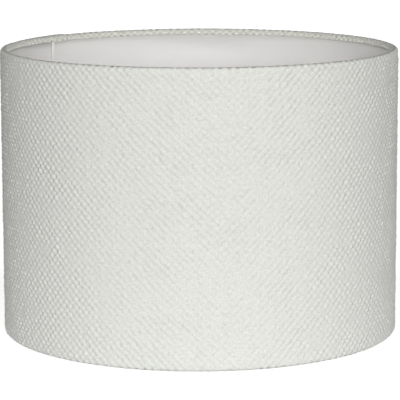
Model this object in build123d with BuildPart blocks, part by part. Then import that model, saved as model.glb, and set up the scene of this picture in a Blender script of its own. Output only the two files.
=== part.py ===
from build123d import *
import os
from math import cos, radians, sin

# A drum lamp shade. A panel of coarse cloth, backed with a thin styrene sheet, is rolled into
# a cylinder and glued in a lap at the back left. The cloth is turned over a wire ring at each
# end. The lower ring carries three arms and the fitter ring that a lampholder clamps.
#
# Millimetres. +Z is up and +Y is the back. The origin is the centre of the lower rim, on the
# plane that the shade stands on. Polar angles are in degrees from +X towards +Y.

# ---- driving dimensions ----
shade_diameter = 250
shade_height = 180

cloth_thickness = 1.1
lining_thickness = 0.5
ring_wire = 2.2
ring_tape_thickness = 0.1
seam_tape_thickness = 0.2
slit_width = 0.2  # between the turned-in edge of the cloth and the wall

lap_inner_end = 141.9  # where the panel's inner end is cut
lap_outer_end = 137.1  # where its outer end is cut, 4.8 degrees further round
ramp_start = 168  # where the outer end leaves the circle to climb over the inner one
tape_inset = 0.5  # degrees of the lap left free of tape at each of its edges

arm_count = 3
first_arm = 90  # polar angle: the first arm points to the back
arm_wire = 3.0
arm_foot = 14  # level stretch beside the lower ring
arm_neck = 13  # level stretch beside the fitter ring
arm_bend = 12  # radius of the two bends
arm_hole_clearance = 0.05

fitter_bore = 42
fitter_flange = 7  # width of the flange round the bore
fitter_sheet = 1.6
fitter_lip = 4.0  # height of the lip round the bore, flange included
fitter_edge = 0.3
fitter_recess = 28  # height of the flange's underside above the rim

# ---- worked out from them ----
outer_radius = shade_diameter / 2
cloth_inner_radius = outer_radius - cloth_thickness
lining_inner_radius = cloth_inner_radius - lining_thickness
lap_step = cloth_thickness + lining_thickness + seam_tape_thickness

wire_radius = ring_wire / 2
sleeve_radius = wire_radius + ring_tape_thickness
roll_radius = sleeve_radius + cloth_thickness
ring_radius = outer_radius - roll_radius
lower_ring_height = roll_radius
upper_ring_height = shade_height - roll_radius
lining_low = 2 * roll_radius
lining_high = shade_height - 2 * roll_radius

bore_radius = fitter_bore / 2
flange_radius = bore_radius + fitter_flange
arm_top = fitter_recess + fitter_sheet / 2
arm_angles = [first_arm + n * 360 / arm_count for n in range(arm_count)]


def polar(radius, angle):
    """The point at a radius and a polar angle."""
    return (radius * cos(radians(angle)), radius * sin(radians(angle)))


def radial_plane(angle):
    """The upright plane through the axis: its x runs outwards and its y runs up."""
    outwards = (*polar(1, angle), 0)
    sideways = (*polar(1, angle - 90), 0)
    return Plane(origin=(0, 0, 0), x_dir=outwards, z_dir=sideways)


def panel_edge(radius):
    """One face of the rolled panel: a circle, a climb over the inner end, and the lap."""
    round_wall = 360 - (ramp_start - lap_inner_end)
    CenterArc((0, 0), radius, ramp_start, round_wall)
    TangentArc(
        polar(radius, ramp_start),
        polar(radius + lap_step, lap_inner_end),
        tangent=polar(1, ramp_start - 90),
    )
    CenterArc((0, 0), radius + lap_step, lap_inner_end, lap_outer_end - lap_inner_end)


def panel_outline(inner, outer):
    """The closed outline of one layer of the panel, between two radii."""
    panel_edge(inner)
    panel_edge(outer)
    Line(polar(inner, lap_inner_end), polar(outer, lap_inner_end))
    Line(polar(inner + lap_step, lap_outer_end), polar(outer + lap_step, lap_outer_end))


def arm_path(angle, outer_end):
    """An arm's centre line: level at the rim, up and inwards, level at the fitter ring."""
    with BuildLine(radial_plane(angle)) as path:
        FilletPolyline(
            (outer_end, lower_ring_height),
            (outer_end - arm_foot, lower_ring_height),
            (flange_radius + arm_neck, arm_top),
            (bore_radius + fitter_flange / 2, arm_top),
            radius=arm_bend,
        )
    return path


os.makedirs("parts", exist_ok=True)

# ---- the two wire rings, and the adhesive tape round each ----
for name, height in (("top", upper_ring_height), ("bottom", lower_ring_height)):
    with BuildPart(Plane.XY.offset(height)) as ring:
        Torus(ring_radius, wire_radius)
    ring.part.label = f"{name}_ring"
    export_step(ring.part, f"parts/{name}_ring.step")

    with BuildPart(Plane.XY.offset(height)) as ring_tape:
        Torus(ring_radius, sleeve_radius)
        Torus(ring_radius, wire_radius, mode=Mode.SUBTRACT)
        if name == "bottom":
            # The tape is slit where each arm is welded to the ring.
            with PolarLocations(ring_radius - sleeve_radius, arm_count, first_arm):
                Cylinder(
                    arm_wire / 2 + arm_hole_clearance,
                    2 * sleeve_radius,
                    rotation=(0, 90, 0),
                    mode=Mode.SUBTRACT,
                )
    ring_tape.part.label = f"{name}_ring_tape"
    export_step(ring_tape.part, f"parts/{name}_ring_tape.step")

# ---- the cloth cover: the wall, and its two edges turned over the rings ----
with BuildPart() as cloth_cover:
    with BuildSketch(Plane.XY.offset(lower_ring_height)):
        with BuildLine():
            panel_outline(cloth_inner_radius, outer_radius)
        make_face()
    extrude(amount=upper_ring_height - lower_ring_height)
    with BuildSketch(Plane.XZ):
        with Locations((ring_radius, upper_ring_height), (ring_radius, lower_ring_height)):
            Circle(roll_radius)
            Circle(sleeve_radius, mode=Mode.SUBTRACT)
        # The turned-in edge stops just short of the wall.
        with Locations((cloth_inner_radius, upper_ring_height)):
            Rectangle(slit_width, roll_radius, align=(Align.MAX, Align.MAX), mode=Mode.SUBTRACT)
        with Locations((cloth_inner_radius, lower_ring_height)):
            Rectangle(slit_width, roll_radius, align=(Align.MAX, Align.MIN), mode=Mode.SUBTRACT)
    revolve(axis=Axis.Z)
    # The hem is notched where each arm leaves the lower ring.
    with Locations((0, 0, lower_ring_height)):
        with PolarLocations(ring_radius - roll_radius, arm_count, first_arm):
            Cylinder(
                arm_wire / 2 + arm_hole_clearance,
                2 * roll_radius,
                rotation=(0, 90, 0),
                mode=Mode.SUBTRACT,
            )
cloth_cover.part.label = "cloth_cover"
export_step(cloth_cover.part, "parts/cloth_cover.step")

# ---- the styrene lining behind the cloth, between the two hems ----
with BuildPart() as styrene_lining:
    with BuildSketch(Plane.XY.offset(lining_low)):
        with BuildLine():
            panel_outline(lining_inner_radius, cloth_inner_radius)
        make_face()
    extrude(amount=lining_high - lining_low)
styrene_lining.part.label = "styrene_lining"
export_step(styrene_lining.part, "parts/styrene_lining.step")

# ---- the adhesive tape between the two ends of the panel ----
with BuildPart() as seam_tape:
    with BuildSketch(Plane.XY.offset(lining_low)):
        with BuildLine():
            near = lap_outer_end + tape_inset
            far = lap_inner_end - tape_inset
            CenterArc((0, 0), outer_radius, near, far - near)
            CenterArc((0, 0), outer_radius + seam_tape_thickness, near, far - near)
            for angle in (near, far):
                Line(polar(outer_radius, angle), polar(outer_radius + seam_tape_thickness, angle))
        make_face()
    extrude(amount=lining_high - lining_low)
seam_tape.part.label = "seam_tape"
export_step(seam_tape.part, "parts/seam_tape.step")

# ---- the fitter ring: a pressed flange with a lip round the bore ----
with BuildPart() as fitter_ring:
    with BuildSketch(Plane.XZ):
        with Locations((bore_radius, fitter_recess)):
            Rectangle(fitter_flange, fitter_sheet, align=(Align.MIN, Align.MIN))
            Rectangle(fitter_sheet, fitter_lip, align=(Align.MIN, Align.MIN))
    revolve(axis=Axis.Z)
    fillet(fitter_ring.edges().filter_by(GeomType.CIRCLE), radius=fitter_edge)
fitter_ring.part.label = "fitter_ring"
export_step(fitter_ring.part, "parts/fitter_ring.step")

# ---- the three arms, coped to the lower ring and to the fitter ring ----
for number, angle in enumerate(arm_angles, start=1):
    path = arm_path(angle, ring_radius)
    with BuildPart() as spider_arm:
        with BuildSketch(Plane(origin=path.line @ 0, z_dir=path.line % 0)):
            Circle(arm_wire / 2)
        sweep(path=path.line)
        with Locations((0, 0, lower_ring_height)):
            Torus(ring_radius, wire_radius, mode=Mode.SUBTRACT)
        with Locations((0, 0, arm_top)):
            Cylinder(flange_radius, 2 * arm_wire, mode=Mode.SUBTRACT)
    spider_arm.part.label = f"spider_arm_{number}"
    export_step(spider_arm.part, f"parts/spider_arm_{number}.step")
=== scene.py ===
import logging
from dataclasses import dataclass
from enum import Enum
from math import pi, radians, sin
from typing import Any

import bpy
import numpy as np
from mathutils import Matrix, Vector


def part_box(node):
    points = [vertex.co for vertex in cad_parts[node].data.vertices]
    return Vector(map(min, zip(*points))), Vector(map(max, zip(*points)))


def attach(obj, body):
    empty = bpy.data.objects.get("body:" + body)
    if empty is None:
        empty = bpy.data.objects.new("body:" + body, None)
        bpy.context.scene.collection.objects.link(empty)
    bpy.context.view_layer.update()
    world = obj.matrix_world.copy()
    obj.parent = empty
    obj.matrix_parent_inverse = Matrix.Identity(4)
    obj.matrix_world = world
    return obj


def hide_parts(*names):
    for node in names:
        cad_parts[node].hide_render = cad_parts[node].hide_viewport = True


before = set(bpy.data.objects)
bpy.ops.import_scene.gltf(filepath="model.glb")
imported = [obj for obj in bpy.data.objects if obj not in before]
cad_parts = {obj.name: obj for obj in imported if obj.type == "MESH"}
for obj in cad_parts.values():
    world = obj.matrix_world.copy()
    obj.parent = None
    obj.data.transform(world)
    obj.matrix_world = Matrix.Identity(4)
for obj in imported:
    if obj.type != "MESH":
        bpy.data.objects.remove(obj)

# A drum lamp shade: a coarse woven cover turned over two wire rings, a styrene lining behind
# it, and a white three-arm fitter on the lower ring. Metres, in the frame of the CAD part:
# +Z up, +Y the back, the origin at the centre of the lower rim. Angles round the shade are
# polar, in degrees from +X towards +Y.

LOG = logging.getLogger("lamp_shade")
MM = 0.001

Number = float | int
Operand = "Value | float | int"
Colour = tuple[float, float, float]
WHITE: Colour = (1.0, 1.0, 1.0)
BLACK: Colour = (0.0, 0.0, 0.0)


# ------------------------------------------------------------------ choices


class Slot(Enum):
    """The material slots of the part's record."""

    CLOTH = "cloth"
    LINING = "lining"
    STEEL = "ring_steel"
    TAPE = "tape"


class End(Enum):
    """The two turned edges of the cover; the value is the direction in which each one faces."""

    TOP = 1
    BOTTOM = -1


# ------------------------------------------------------------------ shader maths


class Value:
    """A number that varies over a surface: a node socket with Python's arithmetic on it."""

    def __init__(self, shader: "Shader", socket: bpy.types.NodeSocket) -> None:
        """Wraps a socket.

        Args:
            shader: the material whose nodes the arithmetic adds to.
            socket: the output that gives the number.
        """
        self.shader = shader
        self.socket = socket

    def math(self, operation: str, *operands: Operand, clamp: bool = False) -> "Value":
        """Adds one Math node.

        Args:
            operation: the Math node's operation.
            operands: its inputs, in order.
            clamp: whether the result is held between 0 and 1.

        Returns:
            The node's result.
        """
        inputs = dict(enumerate(operands))
        settings = {"operation": operation, "use_clamp": clamp}
        return self.shader.number("ShaderNodeMath", settings, inputs)

    def __add__(self, other: Operand) -> "Value":
        """The sum."""
        return self.math("ADD", self, other)

    def __radd__(self, other: Operand) -> "Value":
        """The sum, with the plain number first."""
        return self.math("ADD", other, self)

    def __sub__(self, other: Operand) -> "Value":
        """The difference."""
        return self.math("SUBTRACT", self, other)

    def __rsub__(self, other: Operand) -> "Value":
        """The difference, with the plain number first."""
        return self.math("SUBTRACT", other, self)

    def __mul__(self, other: Operand) -> "Value":
        """The product."""
        return self.math("MULTIPLY", self, other)

    def __rmul__(self, other: Operand) -> "Value":
        """The product, with the plain number first."""
        return self.math("MULTIPLY", other, self)

    def cos(self) -> "Value":
        """The cosine, of radians."""
        return self.math("COSINE", self)

    def sin(self) -> "Value":
        """The sine, of radians."""
        return self.math("SINE", self)

    def held(self) -> "Value":
        """The number held between 0 and 1."""
        return self.math("ADD", self, 0.0, clamp=True)


class Shader:
    """A material's or the world's nodes, built from expressions and made by one method."""

    # The Mix node's sockets when it mixes colours: its factor and two colours, and its result.
    MIX_INPUTS: tuple[int, int, int] = (0, 6, 7)
    MIX_RESULT: int = 2

    def __init__(self, owner: bpy.types.Material | bpy.types.World) -> None:
        """Starts on an empty node tree.

        Args:
            owner: the material or the world that the nodes belong to.
        """
        self.owner = owner
        self.owner.use_nodes = True
        self.tree = self.owner.node_tree
        self.tree.nodes.clear()

    def node(
        self,
        kind: str,
        settings: dict[str, Any] | None = None,
        inputs: dict[str | int, Any] | None = None,
    ) -> bpy.types.Node:
        """Adds a node.

        Args:
            kind: the node's type.
            settings: its own properties, set before its sockets.
            inputs: what goes into its sockets, by name or number: a value, a socket or a Value.

        Returns:
            The node.
        """
        made = self.tree.nodes.new(kind)
        for key, setting in (settings or {}).items():
            setattr(made, key, setting)
        for key, given in (inputs or {}).items():
            source = given.socket if isinstance(given, Value) else given
            if isinstance(source, bpy.types.NodeSocket):
                self.tree.links.new(source, made.inputs[key])
            else:
                made.inputs[key].default_value = source
        return made

    def number(
        self,
        kind: str,
        settings: dict[str, Any] | None = None,
        inputs: dict[str | int, Any] | None = None,
        output: str | int = 0,
    ) -> Value:
        """Adds a node and takes one of its results as a number.

        Args:
            kind: the node's type.
            settings: its own properties.
            inputs: what goes into its sockets.
            output: which result to take.

        Returns:
            The result.
        """
        return Value(self, self.node(kind, settings, inputs).outputs[output])

    def vector(self, x: Operand, y: Operand, z: Operand = 0.0) -> bpy.types.NodeSocket:
        """A vector put together from three numbers."""
        return self.node("ShaderNodeCombineXYZ", None, {0: x, 1: y, 2: z}).outputs[0]

    def place(self) -> bpy.types.NodeSocket:
        """The point in the part's own frame, in metres."""
        return self.node("ShaderNodeTexCoord").outputs["Object"]

    def attribute(self, name: str) -> Value:
        """A number stored on the mesh under a name."""
        return self.number("ShaderNodeAttribute", {"attribute_name": name}, None, "Fac")

    def noise(self, where: bpy.types.NodeSocket, scale: Number, detail: Number) -> Value:
        """Smooth noise from 0 to 1.

        Args:
            where: the coordinates it is read at.
            scale: how many lumps fit in one unit of them.
            detail: how many finer layers it has.

        Returns:
            The noise.
        """
        inputs = {"Vector": where, "Scale": scale, "Detail": detail}
        return self.number("ShaderNodeTexNoise", {"noise_dimensions": "3D"}, inputs)

    def mix(self, share: Operand, first: Any, second: Any, blend: str = "MIX") -> bpy.types.NodeSocket:
        """A colour on the way from one colour to another, or to its product with it.

        Args:
            share: how much of the second there is.
            first: the first colour, as numbers or a socket.
            second: the second colour.
            blend: the Mix node's blend type, MIX or MULTIPLY.

        Returns:
            The mixed colour.
        """
        colours = [c if isinstance(c, bpy.types.NodeSocket) else (*c, 1.0) for c in (first, second)]
        settings = {"data_type": "RGBA", "blend_type": blend, "clamp_factor": True}
        inputs = dict(zip(self.MIX_INPUTS, (share, *colours)))
        return self.node("ShaderNodeMix", settings, inputs).outputs[self.MIX_RESULT]

    def bump(self, height: Value, depth: Number) -> bpy.types.NodeSocket:
        """A surface normal tilted by a height.

        Args:
            height: the height, in parts of the depth.
            depth: metres for a height of 1.

        Returns:
            The normal.
        """
        inputs = {"Strength": 1.0, "Distance": depth, "Height": height}
        return self.node("ShaderNodeBump", None, inputs).outputs[0]

    def close(self, **sockets: Any) -> bpy.types.Material:
        """Ends the material in a Principled shader.

        Args:
            sockets: the shader's inputs, with underscores for spaces in their names.

        Returns:
            The material.
        """
        inputs = {}
        for key, given in sockets.items():
            inputs[key.replace("_", " ")] = (*given, 1.0) if isinstance(given, tuple) else given
        surface = self.node("ShaderNodeBsdfPrincipled", None, inputs)
        self.node("ShaderNodeOutputMaterial", None, {0: surface.outputs[0]})
        return self.owner


# ------------------------------------------------------------------ surfaces


@dataclass(frozen=True)
class SmoothNoise:
    """Random heights from -1 to 1 on a lattice of whole numbers, joined by an S-curve."""

    seed: int
    period: int = 512

    def at(self, x: np.ndarray, y: np.ndarray) -> np.ndarray:
        """Reads the noise.

        Each cell's four corner heights are blended by 3t^2 - 2t^3 of the place in the cell.

        Args:
            x: places along the first side, in lattice steps.
            y: places along the second.

        Returns:
            The heights.
        """
        table = np.random.default_rng(self.seed).uniform(-1.0, 1.0, (self.period, self.period))
        x, y = np.broadcast_arrays(x, y)
        column, row = np.floor(x).astype(int), np.floor(y).astype(int)
        s, t = x - column, y - row
        s, t = s * s * (3 - 2 * s), t * t * (3 - 2 * t)
        low_x, low_y = column % self.period, row % self.period
        high_x, high_y = (column + 1) % self.period, (row + 1) % self.period
        near = table[low_y, low_x] * (1 - s) + table[low_y, high_x] * s
        far = table[high_y, low_x] * (1 - s) + table[high_y, high_x] * s
        return near * (1 - t) + far * t


def ease(x: np.ndarray) -> np.ndarray:
    """Rises from 0 at 0 to 1 at 1 as 3x^2 - 2x^3, and is level outside."""
    x = np.clip(x, 0.0, 1.0)
    return x * x * (3 - 2 * x)


class Surface:
    """A mesh made from closed loops of points carried along a path, with its two ends capped."""

    def __init__(self, name: str, points: np.ndarray, smooth_rows: int) -> None:
        """Works out the faces, whose corners start in turn from one side and from the other.

        Neighbouring faces are so split along opposite diagonals, and the relief has no grain.

        Args:
            name: the piece's name.
            points: the loops, as an array of path step, loop step and coordinate.
            smooth_rows: how many of the loop's strips, from its start, are shaded smooth.
        """
        self.name = name
        self.points = points
        self.smooth_rows = smooth_rows
        self.steps, self.loop = points.shape[:2]
        index = np.arange(self.steps * self.loop).reshape(self.steps, self.loop)
        after = np.roll(index, -1, axis=1)
        sides = np.stack([index[:-1], index[1:], after[1:], after[:-1]], axis=-1)
        odd = np.indices(sides.shape[:2]).sum(0) % 2 == 1
        sides[odd] = np.roll(sides[odd], 1, axis=-1)
        self.sides = sides.reshape(-1, 4)
        self.caps = [index[0], index[-1, ::-1]]
        if self._volume() < 0:
            self.sides = self.sides[:, ::-1]
            self.caps = [cap[::-1] for cap in self.caps]

    def _volume(self) -> float:
        """The volume inside the side faces, seen from the first point: negative if they face in."""
        flat = self.points.reshape(-1, 3)
        flat = flat - flat.mean(0)
        a, b, c, d = (flat[self.sides[:, n]] for n in range(4))
        return float((a * np.cross(b, c)).sum() + (a * np.cross(c, d)).sum()) / 6

    def build(
        self, body: str, slot: Slot, attributes: dict[str, np.ndarray], uv: np.ndarray
    ) -> bpy.types.Object:
        """Puts the surface into a mesh that moves with a body.

        Args:
            body: the CAD body that it rides on.
            slot: the record's slot for its finish; not used.
            attributes: numbers for each point, by name, shaped as the loops are.
            uv: a place on the cloth for each point, in the last axis.

        Returns:
            The piece.
        """
        mesh = bpy.data.meshes.new(self.name)
        faces = self.sides.tolist() + [cap.tolist() for cap in self.caps]
        mesh.from_pydata(self.points.reshape(-1, 3), [], faces)
        for name, numbers in attributes.items():
            layer = mesh.attributes.new(name, "FLOAT", "POINT")
            layer.data.foreach_set("value", numbers.astype(np.float32).ravel())
        corners = np.empty(len(mesh.loops), np.int32)
        mesh.loops.foreach_get("vertex_index", corners)
        layer = mesh.uv_layers.new(name="cloth")
        layer.uv.foreach_set("vector", uv.reshape(-1, 2)[corners].astype(np.float32).ravel())
        smooth = np.zeros((self.steps - 1, self.loop), bool)
        smooth[:, : self.smooth_rows] = True
        smooth = np.concatenate([smooth.ravel(), [False, False]])
        mesh.polygons.foreach_set("use_smooth", smooth)
        mesh.update()
        piece = bpy.data.objects.new(self.name, mesh)
        bpy.context.scene.collection.objects.link(piece)
        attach(piece, body)
        LOG.info("%s: %d points, %d faces", self.name, len(mesh.vertices), len(mesh.polygons))
        return piece


# ------------------------------------------------------------------ finishes


def thread_counts(shader: Shader, weave: "Weave") -> tuple[Value, Value]:
    """The thread counts along the panel and up the wall, from the piece's map of the cloth.

    Args:
        shader: the material that reads them.
        weave: the cloth, for the number of its threads.

    Returns:
        Both counts.
    """
    places = shader.node("ShaderNodeUVMap", {"uv_map": "cloth"}).outputs[0]
    split = shader.node("ShaderNodeSeparateXYZ", None, {0: places})
    across, up = (Value(shader, split.outputs[axis]) for axis in range(2))
    return across * weave.threads_across, up * weave.threads_up


@dataclass(frozen=True)
class ClothFinish:
    """Coarse off-white cloth: thick matt threads that cross over and under one another."""

    # The tone runs from hollow to crest: random thread, fuzz and mottle tone, plus painted shade in the
    # weave's hollows.
    crest: Colour = (0.80, 0.81, 0.765)
    hollow: Colour = (0.64, 0.645, 0.61)
    # The turned tint is painted shade: a dark line along each rim's crest, a darker hem and a darker
    # tucked edge.
    painted_shade_tint: Colour = (0.50, 0.485, 0.45)
    bump_depth: float = 0.18 * MM
    plies: float = 4.0  # side by side in a thread
    ply_lean: float = 0.8  # plies that the twist moves on by in one thread's pitch
    ply_height: float = 0.08
    ply_change: float = 3.0  # how sharply one thread's plies give way to the other's
    fuzz_height: float = 1.2
    streak: float = 0.06  # how fast a thread's tone changes along it, next to across it
    middle_tone: float = 0.66
    hollow_shade_tone: float = 0.04
    thread_tone: float = 0.25
    fuzz_tone: float = 1.8
    # Painted shade: the weave's hollows take more of the turned tint, the thread crests less.
    hollow_shade_bias: float = 0.4  # how much less of the turned tint a crest takes

    def make(self, weave: "Weave") -> bpy.types.Material:
        """Builds the material.

        The weave's product of cosines, times the strength stored on the mesh, is the relief: it
        darkens the hollows with painted shade and rounds the threads between the mesh's points.
        Each thread has its own lightness. Fine plies run along whichever thread is uppermost.

        Args:
            weave: the cloth, for the number of its threads.

        Returns:
            The material.
        """
        shader = Shader(bpy.data.materials.new("coarse_cloth"))
        across, up = thread_counts(shader, weave)
        relief = (across * pi).cos() * (up * pi).cos() * shader.attribute("strength")

        weft_on_top = (relief * self.ply_change + 0.5).held()
        along, over = 2 * pi * self.ply_lean, 2 * pi * self.plies
        weft_ply = (up * over + across * along).sin()
        warp_ply = (across * over - up * along).sin()
        ply = weft_ply * weft_on_top + warp_ply * (1.0 - weft_on_top)
        fuzz = shader.noise(shader.vector(across, up), scale=3.6, detail=4.0)
        mottle = shader.noise(shader.vector(across, up, 3.0), scale=2.0, detail=2.0)
        warp_tone = shader.noise(shader.vector(across, up * self.streak), scale=1.0, detail=1.0)
        weft_tone = shader.noise(shader.vector(across * self.streak, up, 9.0), scale=1.0, detail=1.0)

        height = relief + ply * self.ply_height + fuzz * self.fuzz_height
        # Painted shade: the weave's hollows darker, its crests lighter.
        tone = relief * self.hollow_shade_tone + self.middle_tone
        tone = tone + (warp_tone + weft_tone - 1.0) * self.thread_tone
        tone = tone + (fuzz + mottle - 1.0) * self.fuzz_tone
        # Painted shade on the turned cloth, deeper in the weave's hollows and lighter on the thread
        # crests.
        turned = shader.attribute("turned") * (1.0 - relief * self.hollow_shade_bias)
        colour = shader.mix(tone.held(), self.hollow, self.crest)
        return shader.close(
            Base_Color=shader.mix(turned.held(), colour, self.painted_shade_tint, "MULTIPLY"),
            Roughness=(fuzz * 0.2 + 0.8).held(),
            Normal=shader.bump(height, self.bump_depth),
            Sheen_Weight=0.15,
            Sheen_Roughness=0.6,
            Specular_IOR_Level=0.2,
        )


@dataclass(frozen=True)
class CutEdgeFinish:
    """The raw cut ends of the panel: pale thread ends pressed into glue."""

    pale: Colour = (0.88, 0.88, 0.86)
    dull: Colour = (0.74, 0.74, 0.71)

    def make(self) -> bpy.types.Material:
        """Builds the material: noise in fine grains mixes the two tones and roughens the face."""
        shader = Shader(bpy.data.materials.new("cut_cloth_edge"))
        grain = shader.noise(shader.place(), scale=1500.0, detail=3.0)
        return shader.close(
            Base_Color=shader.mix(grain, self.pale, self.dull),
            Roughness=(grain * 0.2 + 0.75).held(),
            Normal=shader.bump(grain, depth=0.15 * MM),
        )


@dataclass(frozen=True)
class LiningFinish:
    """White styrene sheet with a satin face, through which the cloth's texture just shows."""

    white: Colour = (0.735, 0.724, 0.716)
    shade: Colour = (0.71, 0.698, 0.690)
    bump_depth: float = 0.12 * MM
    print_height: float = 0.12
    cloud_height: float = 1.2
    haze_height: float = 0.1

    def make(self, weave: "Weave") -> bpy.types.Material:
        """Builds the material.

        Broad clouds mix the two tones, and a fine haze varies the gloss. The threads' product of
        cosines, the clouds and the haze add up to the height.

        Args:
            weave: the cloth behind the sheet, whose threads it takes a faint print of.

        Returns:
            The material.
        """
        shader = Shader(bpy.data.materials.new("styrene_sheet"))
        across, up = thread_counts(shader, weave)
        print_through = (across * pi).cos() * (up * pi).cos()
        cloud = shader.noise(shader.place(), scale=40.0, detail=3.0)
        haze = shader.noise(shader.place(), scale=900.0, detail=2.0)
        height = print_through * self.print_height + cloud * self.cloud_height + haze * self.haze_height
        return shader.close(
            Base_Color=shader.mix((cloud * 1.6 - 0.3).held(), self.white, self.shade),
            Roughness=(haze * 0.12 + 0.42).held(),
            Normal=shader.bump(height, self.bump_depth),
            Specular_IOR_Level=0.35,
        )


@dataclass(frozen=True)
class PowderCoatFinish:
    """White powder coat baked on steel wire: a fine orange peel, faintly yellow where thin."""

    full: Colour = (0.83, 0.83, 0.815)
    thin: Colour = (0.72, 0.715, 0.69)

    def make(self) -> bpy.types.Material:
        """Builds the material: a fine peel for the bump, and broad noise for the thin places."""
        shader = Shader(bpy.data.materials.new("white_powder_coat"))
        peel = shader.noise(shader.place(), scale=2200.0, detail=2.0)
        cover = shader.noise(shader.place(), scale=160.0, detail=3.0)
        return shader.close(
            Base_Color=shader.mix((cover * 2.2 - 0.85).held(), self.full, self.thin),
            Roughness=(peel * 0.15 + 0.3).held(),
            Normal=shader.bump(peel, depth=0.05 * MM),
            Coat_Weight=0.2,
            Coat_Roughness=0.25,
        )


@dataclass(frozen=True)
class TapeFinish:
    """Double-sided adhesive film: milky, with trapped bubbles."""

    milky: Colour = (0.82, 0.80, 0.74)
    wet: Colour = (0.70, 0.67, 0.60)

    def make(self) -> bpy.types.Material:
        """Builds the material: cells of noise are the places where the film has wetted."""
        shader = Shader(bpy.data.materials.new("adhesive_film"))
        cells = shader.number("ShaderNodeTexVoronoi", None, {"Vector": shader.place(), "Scale": 700.0})
        return shader.close(
            Base_Color=shader.mix(cells.held(), self.wet, self.milky),
            Roughness=(cells * 0.3 + 0.3).held(),
            Normal=shader.bump(cells, depth=0.02 * MM),
        )


# ------------------------------------------------------------------ the panel and its weave


@dataclass(frozen=True)
class Panel:
    """The rolled panel: where it starts, laps and ends, and how the rings shape it.

    Angles grow from the panel's outer end, round the left, front, right and back, to its inner
    end, which lies under the outer one. They and the turns are in degrees.
    """

    outer_end: float = 137.1
    lap_start: float = 141.9
    ramp_start: float = 168.0  # where the wall begins to climb over the inner end
    hem_ramp: float = 3.0  # the turn in which a hem climbs over it
    lap_step: float = 1.8 * MM  # how far the wall climbs
    hem_step: float = 0.9 * MM  # how far a hem climbs
    curl: float = 0.5 * MM  # how far the springy inner end stands in
    curl_turn: float = 1.6
    lining_thickness: float = 0.5 * MM

    @property
    def inner_end(self) -> float:
        """The angle of the inner end, a full turn past the start of the lap."""
        return self.lap_start + 360.0

    @property
    def outer_radius(self) -> float:
        """The radius of the wall's outer face."""
        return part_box("cloth_cover")[1].x

    @property
    def height(self) -> float:
        """The height of the shade."""
        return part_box("cloth_cover")[1].z

    @property
    def cloth_thickness(self) -> float:
        """The thickness of the cloth: what lies outside the lining."""
        return self.outer_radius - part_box("styrene_lining")[1].x

    @property
    def wire_radius(self) -> float:
        """The radius of the ring wire."""
        low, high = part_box("top_ring")
        return (high.z - low.z) / 2

    @property
    def ring_radius(self) -> float:
        """The radius of the rings' centre lines."""
        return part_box("top_ring")[1].x - self.wire_radius

    @property
    def roll_radius(self) -> float:
        """The radius of the cloth's outer face round a ring wire."""
        return self.outer_radius - self.ring_radius

    def wall_climb(self, angle: np.ndarray) -> np.ndarray:
        """How far the wall has climbed over the inner end: an S-curve from the ramp to the lap."""
        return self.lap_step * ease((self.ramp_start - angle) / (self.ramp_start - self.lap_start))

    def curled(self, angle: np.ndarray) -> np.ndarray:
        """How far the springy inner end stands in from the wall: the square of the way to it."""
        return self.curl * np.clip(1 - (self.inner_end - angle) / self.curl_turn, 0, 1) ** 2

    def hem_climb(self, angle: np.ndarray) -> np.ndarray:
        """How far the hem stands off: the same, over the soft cloth's much shorter ramp."""
        return self.hem_step * ease((self.lap_start + self.hem_ramp - angle) / self.hem_ramp)


@dataclass(frozen=True)
class Weave:
    """A plain weave of thick uneven threads, in which every other crossing stands proud."""

    panel: Panel
    threads_round: int = 322
    threads_between_rings: int = 70
    samples: int = 2
    depth: float = 0.36 * MM
    unevenness: float = 0.8
    patch: float = 5.0  # threads across a patch of stronger or weaker crossings
    patch_share: float = 0.5
    wander: float = 0.24
    skew: float = 0.0316  # threads that a weft climbs for each warp it crosses
    slub: float = 0.14
    slub_length: float = 7.0  # threads that a swelling runs along
    seed: int = 11

    @property
    def threads_across(self) -> float:
        """How many threads the panel has from its outer end to its inner one."""
        turn = self.panel.inner_end - self.panel.outer_end
        return turn * self.threads_round / 360.0

    @property
    def pitch_up(self) -> float:
        """The distance from one thread to the next up the wall."""
        between = self.panel.height - 2 * self.panel.roll_radius
        return between / self.threads_between_rings

    @property
    def threads_up(self) -> float:
        """The number of threads that the cloth's coordinate up the wall is counted in."""
        return float(self.threads_between_rings)

    def wandered(self, across: np.ndarray, up: np.ndarray) -> tuple[np.ndarray, np.ndarray]:
        """Slants the wefts and moves the crossings about by smooth noise.

        Args:
            across: the thread count along the panel.
            up: the thread count up the wall.

        Returns:
            Both counts, as the threads really lie.
        """
        dx, dy = (SmoothNoise(self.seed + n).at(across, up) for n in range(2))
        return across + self.wander * dx, up - self.skew * across + self.wander * dy

    def strength(self, across: np.ndarray, up: np.ndarray) -> np.ndarray:
        """How strongly the threads cross: 1 plus noise a thread wide and noise a patch wide."""
        fine = SmoothNoise(self.seed + 2).at(across, up)
        broad = SmoothNoise(self.seed + 3).at(across / self.patch, up / self.patch)
        return 1 + self.unevenness * (fine + self.patch_share * broad)

    def relief(self, across: np.ndarray, up: np.ndarray) -> np.ndarray:
        """The height of the cloth's face over its mean, in parts of its depth.

        The product of two cosines of the wandered counts, each with a period of two threads, puts
        a crest at every other crossing and a hollow at the rest. The strength multiplies it, and
        smooth noise drawn out along each thread swells whole stretches of it.

        Args:
            across: the thread count along the panel.
            up: the thread count up the wall.

        Returns:
            The relief.
        """
        x, y = self.wandered(across, up)
        crossing = np.cos(pi * x) * np.cos(pi * y) * self.strength(across, up)
        warp_swell = SmoothNoise(self.seed + 4).at(across, up / self.slub_length)
        weft_swell = SmoothNoise(self.seed + 5).at(across / self.slub_length, up)
        return crossing + self.slub * (warp_swell + weft_swell)


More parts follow.
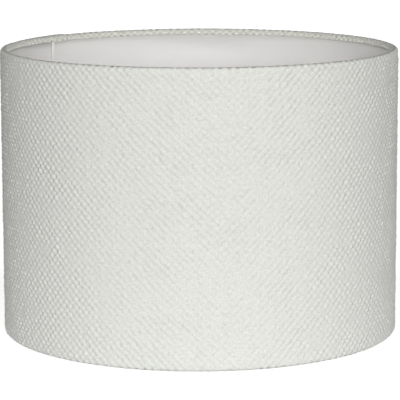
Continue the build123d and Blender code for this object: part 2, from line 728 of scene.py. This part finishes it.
@dataclass(frozen=True)
class ClothCover:
    """The cloth: the wall, from the crest of one rim to that of the other, and the two hems.

    Turns are in degrees round the ring wire, from outwards. Depths are in parts of the weave's.
    """

    panel: Panel
    weave: Weave
    tuck: float = 300.0  # the turn at which the hem's edge is tucked away
    bend_threads: int = 2  # threads' worth of rows round the wall's turn over each rim
    hem_samples: int = 3
    sink: float = 0.3  # how deep the relief's mean lies in the wall's face
    crest_sink: float = 0.3  # how much deeper on the rim's crest
    crest_sink_width: float = 60.0
    crest_fade: float = 0.4  # how much of the relief is pressed out on the crest
    press_ramp: float = 1.0  # degrees round the shade over which the lapped end goes smooth
    # Painted shade on the turned cloth: a dark line along each rim's crest, a darker hem and a darker
    # tucked edge.
    crest_shade: float = 1.0
    crest_width: float = 32.0
    hem_shade: float = 0.46
    hem_rise: float = 20.0
    tuck_shade: float = 0.70
    tuck_start: float = 85.0  # past the crest
    tuck_rise: float = 55.0

    @property
    def angle(self) -> np.ndarray:
        """The polar angle of each column of points."""
        columns = int(self.weave.threads_across * self.weave.samples)
        return np.linspace(self.panel.outer_end, self.panel.inner_end, columns + 1)[:, None]

    @property
    def across(self) -> np.ndarray:
        """The thread count along the panel at each column."""
        return (self.angle - self.panel.outer_end) * self.weave.threads_round / 360.0

    def face(self, centre: np.ndarray, turn: np.ndarray, radius: float) -> np.ndarray:
        """Points on the cloth's smooth face.

        A point is at the ring's radius plus an offset in the direction of its turn, measured up
        from outwards, round a centre at the given height. The offset grows by the wall's climb
        on the outside of the shade. From the crest to the tuck it grows by the hem's climb, as the
        square of a half wave.

        Args:
            centre: the height that each point of the profile turns about.
            turn: its turn, in degrees.
            radius: the offset without the climb.

        Returns:
            The points, as an array of column, profile point and coordinate.
        """
        panel = self.panel
        turned = np.abs(np.radians(turn))[None, :]
        outside = np.clip(np.cos(turned), 0, 1) ** 2
        inside = np.sin((turned - pi / 2) * 180 / (self.tuck - 90)) ** 2
        wall = panel.wall_climb(self.angle) - panel.curled(self.angle)
        climb = wall * outside + panel.hem_climb(self.angle) * inside * (1 - outside)
        return self.around(centre, turn, radius + climb)

    def around(self, centre: np.ndarray, turn: np.ndarray, offset: np.ndarray | float) -> np.ndarray:
        """Points at an offset from the ring's circle, in the direction of their turn."""
        turned = np.radians(turn)[None, :]
        out = self.panel.ring_radius + offset * np.cos(turned)
        high = centre[None, :] + offset * np.sin(turned)
        angle = np.radians(self.angle)
        out, high, angle = np.broadcast_arrays(out, high, angle)
        return np.stack([out * np.cos(angle), out * np.sin(angle), high], axis=-1)

    def normals(self, turn: np.ndarray) -> np.ndarray:
        """The directions in which the relief stands: away from the ring's circle."""
        turned, angle = np.broadcast_arrays(np.radians(turn)[None, :], np.radians(self.angle))
        level = np.cos(turned)
        return np.stack([level * np.cos(angle), level * np.sin(angle), np.sin(turned)], axis=-1)

    def woven(self, centre: np.ndarray, turn: np.ndarray, up: np.ndarray) -> np.ndarray:
        """The cloth's outer face with its relief, pressed flat where it stands on the floor.

        Over the wire the threads are squeezed: the relief shrinks by an S-curve up to the rim's
        crest, and sinks by a bell curve round it. In the lap the inner end is pressed smooth.

        Args:
            centre: the height that each point of the profile turns about.
            turn: its turn, in degrees.
            up: its thread count.

        Returns:
            The points.
        """
        panel = self.panel
        relief = self.weave.relief(self.across, up[None, :])
        lap = panel.lap_start - panel.outer_end
        free = ease((panel.inner_end - self.angle - lap) / self.press_ramp + 1.0)
        turned = np.abs(turn)[None, :]
        relief = relief * (1 - self.crest_fade * ease(turned / 90))
        bell = np.exp(-(((turned - 90) / self.crest_sink_width) ** 2))
        stand = self.weave.depth * (relief - self.sink - self.crest_sink * bell) * free
        points = self.face(centre, turn, panel.roll_radius) + self.normals(turn) * stand[..., None]
        points[..., 2] = np.maximum(points[..., 2], 0.0)
        return points

    def marks(self, turn: np.ndarray, up: np.ndarray) -> tuple[dict[str, np.ndarray], np.ndarray]:
        """What the finish reads at each point.

        Args:
            turn: the turn of each point of the profile, in degrees.
            up: its thread count.

        Returns:
            The strength of the crossings and the share of the turned tint, which is painted shade, by
            name, and the place on the cloth, as shares of the threads across and up.
        """
        weave = self.weave
        x, y = weave.wandered(self.across, up[None, :])
        strength = weave.strength(self.across, up[None, :])
        # "turned" is the share of painted shade at each point.
        attributes = {"strength": strength, "turned": np.broadcast_to(self.shade(turn), strength.shape)}
        return attributes, np.stack([x / weave.threads_across, y / weave.threads_up], axis=-1)

    def shade(self, turn: np.ndarray) -> np.ndarray:
        """How much painted shade, the turned tint, each turn has: most on the crest, less on the hem.

        Args:
            turn: the turn, in degrees.

        Returns:
            A bell curve round the crest, an S-curve up to the hem's share beyond it, and another
            up to the darker tucked edge: all painted shade.
        """
        past = np.abs(turn) - 90.0
        crest = self.crest_shade * np.exp(-((past / self.crest_width) ** 2))
        hem = self.hem_shade * ease(past / self.hem_rise)
        tuck = (self.tuck_shade - self.hem_shade) * ease((past - self.tuck_start) / self.tuck_rise)
        return np.maximum(crest, hem + tuck)

    def wall(self) -> bpy.types.Object:
        """Builds the wall: its woven face from rim crest to rim crest, and its plain inner face."""
        panel, weave = self.panel, self.weave
        low, high = panel.roll_radius, panel.height - panel.roll_radius
        quarter = self.bend_threads * weave.samples
        rows = weave.threads_between_rings * weave.samples
        bend = np.linspace(0, 90, quarter + 1)
        turn = np.concatenate([-bend[:0:-1], np.zeros(rows + 1), bend[1:]])
        straight = np.linspace(low, high, rows + 1)
        centre = np.concatenate([np.full(quarter, low), straight, np.full(quarter, high)])
        up = (centre - low + panel.roll_radius * np.radians(turn)) / weave.pitch_up
        outer = self.woven(centre, turn, up)
        back_turn = np.array([90.0, 0.0, 0.0, -90.0])
        back_centre = np.array([high, high, low, low])
        inner = self.face(back_centre, back_turn, panel.roll_radius - panel.cloth_thickness)
        back_up = (back_centre - low) / weave.pitch_up
        loops = np.concatenate([outer, inner], axis=1)
        surface = Surface("woven_wall", loops, smooth_rows=len(turn) - 1)
        attributes, uv = self.marks(np.concatenate([turn, back_turn]), np.concatenate([up, back_up]))
        return surface.build("root", Slot.CLOTH, attributes, uv)

    def hem(self, end: End) -> bpy.types.Object:
        """Builds a hem: the cloth from the rim's crest, round the wire, to its tucked edge.

        Args:
            end: which rim.

        Returns:
            The piece.
        """
        panel, weave = self.panel, self.weave
        way = end.value
        middle = panel.height - panel.roll_radius if end is End.TOP else panel.roll_radius
        wrap = radians(self.tuck - 90) * panel.roll_radius
        rows = round(wrap / weave.pitch_up * self.hem_samples)
        turn = way * np.linspace(90, self.tuck, rows + 1)
        centre = np.full(rows + 1, middle)
        up = (centre - panel.roll_radius + panel.roll_radius * np.radians(turn)) / weave.pitch_up
        outer = self.woven(centre, turn, up)
        back_turn = way * np.linspace(self.tuck, 90, rows // 2 + 1)
        back_centre = np.full(len(back_turn), middle)
        inner = self.face(back_centre, back_turn, panel.roll_radius - panel.cloth_thickness)
        loops = np.concatenate([outer, inner], axis=1)
        surface = Surface(f"{end.name.lower()}_hem", loops, smooth_rows=rows)
        back_up = np.full(len(back_turn), up[-1])
        attributes, uv = self.marks(np.concatenate([turn, back_turn]), np.concatenate([up, back_up]))
        return surface.build("root", Slot.CLOTH, attributes, uv)

    def build(self) -> list[bpy.types.Object]:
        """Returns:
            The pieces.
        """
        panel = self.panel
        cloth, cut = ClothFinish().make(self.weave), CutEdgeFinish().make()
        wall = self.wall()
        hems = [self.hem(end) for end in End]
        for piece in (wall, *hems):
            piece.data.materials.append(cloth)
            piece.data.materials.append(cut)
            for end_cap in piece.data.polygons[-2:]:
                end_cap.material_index = 1
        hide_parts("cloth_cover")
        turn = radians(panel.inner_end - panel.outer_end)
        length = turn * (panel.outer_radius - panel.cloth_thickness / 2)
        turned_in = radians(self.tuck) * (panel.roll_radius - panel.cloth_thickness / 2)
        width = panel.height - 2 * panel.roll_radius + 2 * turned_in
        LOG.info("cloth cut to %.0f by %.0f mm", length / MM, width / MM)
        return [wall, *hems]


@dataclass(frozen=True)
class Lining:
    """The styrene sheet behind the cloth, whose weave shows faintly through it."""

    panel: Panel
    weave: Weave
    columns: int = 440
    rows: int = 12
    waviness: float = 0.06 * MM
    wave_turn: float = 9.0  # degrees round the shade
    wave_rise: float = 50.0 * MM
    seed: int = 31

    def build(self) -> bpy.types.Object:
        """Builds the sheet.

        Its face is the panel's path at the lining's radius, less the curl of its inner end, plus
        slow noise for the waves in the sheet.

        Returns:
            The piece.
        """
        panel = self.panel
        low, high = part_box("styrene_lining")
        angle = np.linspace(panel.outer_end, panel.inner_end, self.columns + 1)[:, None]
        up = np.linspace(low.z, high.z, self.rows + 1)[None, :]
        noise = SmoothNoise(self.seed).at(angle / self.wave_turn, up / self.wave_rise)
        back = high.x + panel.wall_climb(angle) - panel.curled(angle) + self.waviness * noise
        inner = self.ring(angle, back - panel.lining_thickness, up)
        outer = self.ring(angle, back, up)[:, ::-1]
        loops = np.concatenate([inner, outer], axis=1)
        surface = Surface("lining_sheet", loops, smooth_rows=self.rows)
        u = (angle - panel.outer_end) / (panel.inner_end - panel.outer_end)
        v = (up - low.z) / (high.z - low.z)
        uv = np.stack(np.broadcast_arrays(u, np.concatenate([v, v[:, ::-1]], axis=1)), axis=-1)
        piece = surface.build("root", Slot.LINING, {}, uv)
        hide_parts("styrene_lining")
        piece.data.materials.append(LiningFinish().make(self.weave))
        return piece

    @staticmethod
    def ring(angle: np.ndarray, radius: np.ndarray, up: np.ndarray) -> np.ndarray:
        """Points at each angle, radius and height."""
        angle, radius, up = np.broadcast_arrays(np.radians(angle), radius, up)
        return np.stack([radius * np.cos(angle), radius * np.sin(angle), up], axis=-1)


@dataclass(frozen=True)
class WireWork:
    """The rings, the arms and the fitter ring, with the welds between them, and the tapes."""

    steel_nodes: tuple[str, ...] = (
        "top_ring",
        "bottom_ring",
        "spider_arm_1",
        "spider_arm_2",
        "spider_arm_3",
        "fitter_ring",
    )
    tape_nodes: tuple[str, ...] = ("top_ring_tape", "bottom_ring_tape", "seam_tape")
    arm_angles: tuple[float, ...] = (90.0, 210.0, 330.0)
    bead: float = 0.55 * MM
    bead_out: float = 0.4  # how far the bead's middle lies past the flange, in bead radii
    bead_length: float = 0.8  # the bead's half length along the arm, in the same
    bead_steps: int = 32
    bead_sides: int = 12
    lumps: int = 8
    lumpiness: float = 0.25
    seed: int = 51

    def dress(self) -> None:
        """Gives every CAD node that stays in view its finish."""
        steel, tape = PowderCoatFinish().make(), TapeFinish().make()
        for material, names in ((steel, self.steel_nodes), (tape, self.tape_nodes)):
            for name in names:
                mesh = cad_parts[name].data
                mesh.materials.clear()
                mesh.materials.append(material)

    def weld(self, number: int, angle: float, steel: bpy.types.Material) -> bpy.types.Object:
        """Builds the weld bead between an arm and the fitter ring.

        The bead is a ring about the arm, an uneven circle carried round it, half sunk in the
        edge of the fitter's flange.

        Args:
            number: the arm's number.
            angle: its polar angle.
            steel: the finish of the wire work.

        Returns:
            The piece.
        """
        low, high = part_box("spider_arm_1")
        arm_radius = (high.x - low.x) / 2
        middle = high.z - arm_radius
        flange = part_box("fitter_ring")[1].x
        around = np.linspace(0, 2 * pi, self.bead_steps + 1)[:, None]
        section = np.linspace(0, 2 * pi, self.bead_sides, endpoint=False)[None, :]
        noise = SmoothNoise(self.seed + number, self.lumps)
        lumps = noise.at(around / (2 * pi) * self.lumps, np.zeros_like(around))
        size = self.bead * (1 + self.lumpiness * lumps)
        reach = arm_radius + size * np.cos(section)
        along = flange + size * (self.bead_out + self.bead_length * np.sin(section))
        reach, along, around = np.broadcast_arrays(reach, along, around)
        out = Vector((np.cos(radians(angle)), np.sin(radians(angle)), 0.0))
        side = np.array([-out.y, out.x, 0.0])
        points = along[..., None] * np.array(out) + (reach * np.cos(around))[..., None] * side
        points[..., 2] += middle + reach * np.sin(around)
        surface = Surface(f"weld_bead_{number}", points, smooth_rows=section.size)
        piece = surface.build("root", Slot.STEEL, {}, np.zeros((*points.shape[:2], 2)))
        piece.data.materials.append(steel)
        return piece

    def build(self) -> list[bpy.types.Object]:
        """Dresses the CAD nodes and adds the welds.

        Returns:
            The welds.
        """
        self.dress()
        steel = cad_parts["fitter_ring"].data.materials[0]
        return [self.weld(n, angle, steel) for n, angle in enumerate(self.arm_angles, start=1)]


# ------------------------------------------------------------------ studio


@dataclass(frozen=True)
class Softbox:
    """An area light that points at the shade's middle."""

    name: str
    place: tuple[float, float, float]
    width: float
    height: float
    power: float


@dataclass(frozen=True)
class Studio:
    """A pale floor, soft lights and the camera.

    The halves are half the sides of square sheets, and the glows and the surround are strengths.
    """

    camera_distance: float = 1.3793
    camera_height: float = 0.3175
    camera_pitch: float = 9.707  # degrees down
    camera_roll: float = 0.003  # radians
    focal_length: float = 197.49
    sensor: float = 36.0
    shift_x: float = 0.0009
    clip: tuple[float, float] = (0.05, 50.0)
    surround: float = 0.13
    surround_seen: float = 1.05
    floor_half: float = 6.0
    floor_glow: float = 0.6
    floor_tones: tuple[Colour, Colour] = ((0.94, 0.94, 0.94), (0.92, 0.92, 0.92))
    grid_points: int = 9  # along each side of the floor and the cards
    card_half: float = 0.25
    card_glow: float = 0.40
    card_height: float = -1.0 * MM
    inner_half: float = 0.08
    inner_glow: float = 7.5
    inner_height: float = -0.5 * MM
    lights: tuple[Softbox, ...] = (
        Softbox("front_box", (0.10, -2.6, 0.5), 1.1, 0.55, 54.0),
        Softbox("left_box", (-2.3, -0.6, 2.3), 0.8, 0.8, 12.4),
        Softbox("right_box", (2.3, -0.6, 2.3), 0.8, 0.8, 17.0),
        Softbox("back_box", (0.3, 2.6, 1.0), 1.6, 1.6, 12.0),
    )

    def plane(self, name: str, half: float, height: float) -> bpy.types.Object:
        """Lays a level grid that isn't part of the object.

        Args:
            name: its name.
            half: half its side.
            height: its height.

        Returns:
            The grid.
        """
        side = np.linspace(-half, half, self.grid_points)
        x, y = np.meshgrid(side, side)
        points = np.stack([x, y, np.full_like(x, height)], axis=-1).reshape(-1, 3)
        index = np.arange(x.size).reshape(x.shape)
        quads = np.stack([index[:-1, :-1], index[:-1, 1:], index[1:, 1:], index[1:, :-1]], axis=-1)
        mesh = bpy.data.meshes.new(name)
        mesh.from_pydata(points, [], quads.reshape(-1, 4).tolist())
        plane = bpy.data.objects.new(name, mesh)
        bpy.context.scene.collection.objects.link(plane)
        return plane

    def floor(self) -> None:
        """Lays the pale floor, and under it the cards for its bounce and for light through the shade."""
        floor = self.plane("floor", self.floor_half, 0.0)
        floor.visible_diffuse = floor.visible_glossy = False
        shader = Shader(bpy.data.materials.new("pale_floor"))
        cloud = shader.noise(shader.place(), scale=2.0, detail=2.0)
        material = shader.close(
            Base_Color=shader.mix(cloud, *self.floor_tones),
            Roughness=0.9,
            Emission_Color=WHITE,
            Emission_Strength=self.floor_glow,
        )
        floor.data.materials.append(material)
        self.card("bounce_card", self.card_half, self.card_height, self.card_glow)
        self.card("inner_card", self.inner_half, self.inner_height, self.inner_glow)

    def card(self, name: str, half: float, height: float, glow: float) -> None:
        """Lays a card that throws light up, and that the camera doesn't see.

        Args:
            name: its name.
            half: half its side.
            height: its height.
            glow: how brightly it shines.
        """
        card = self.plane(name, half, height)
        card.visible_camera = card.visible_shadow = False
        shader = Shader(bpy.data.materials.new(name))
        material = shader.close(Base_Color=BLACK, Emission_Color=WHITE, Emission_Strength=glow)
        card.data.materials.append(material)

    def light(self, box: Softbox, target: Vector) -> None:
        """Hangs one softbox.

        Args:
            box: its size, place and power.
            target: the point that it faces.
        """
        data = bpy.data.lights.new(box.name, "AREA")
        data.shape = "RECTANGLE"
        data.size, data.size_y = box.width, box.height
        data.energy = box.power
        lamp = bpy.data.objects.new(box.name, data)
        lamp.location = box.place
        lamp.rotation_euler = (target - lamp.location).to_track_quat("-Z", "Y").to_euler()
        bpy.context.scene.collection.objects.link(lamp)

    def sky(self) -> None:
        """Fills the surround with even light, which is white to the camera and dimmer as a lamp."""
        world = bpy.data.worlds.new("surround")
        shader = Shader(world)
        seen = shader.number("ShaderNodeLightPath", output="Is Camera Ray")
        strength = seen * (self.surround_seen - self.surround) + self.surround
        inputs = {"Color": (*WHITE, 1.0), "Strength": strength}
        background = shader.node("ShaderNodeBackground", None, inputs)
        shader.node("ShaderNodeOutputWorld", None, {0: background.outputs[0]})
        bpy.context.scene.world = world

    def camera(self) -> None:
        """Places the camera in front of the shade, a little above it and looking slightly down."""
        data = bpy.data.cameras.new("camera")
        data.lens = self.focal_length
        data.sensor_width = self.sensor
        data.shift_x = self.shift_x
        data.clip_start, data.clip_end = self.clip
        camera = bpy.data.objects.new("camera", data)
        camera.location = (0.0, -self.camera_distance, self.camera_height)
        heading = -self.camera_roll * sin(radians(self.camera_pitch))
        camera.rotation_euler = (radians(90 - self.camera_pitch), self.camera_roll, heading)
        bpy.context.scene.collection.objects.link(camera)
        bpy.context.scene.camera = camera

    def build(self, panel: Panel) -> None:
        """Builds the studio round the shade.

        Args:
            panel: the panel, for the height that the lights aim at.
        """
        self.camera()
        self.floor()
        self.sky()
        target = Vector((0.0, 0.0, panel.height / 2))
        for box in self.lights:
            self.light(box, target)
        view = bpy.context.scene.view_settings
        view.view_transform = "Standard"
        view.look = "None"


def main() -> None:
    """Builds the shade's looks and the studio, and reports each piece."""
    logging.basicConfig(level=logging.INFO, format="%(name)s: %(message)s")
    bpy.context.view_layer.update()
    panel = Panel()
    weave = Weave(panel)
    Studio().build(panel)
    pieces = ClothCover(panel, weave).build()
    pieces.append(Lining(panel, weave).build())
    pieces.extend(WireWork().build())
    LOG.info("%d pieces", len(pieces))


if __name__ == "__main__":
    main()
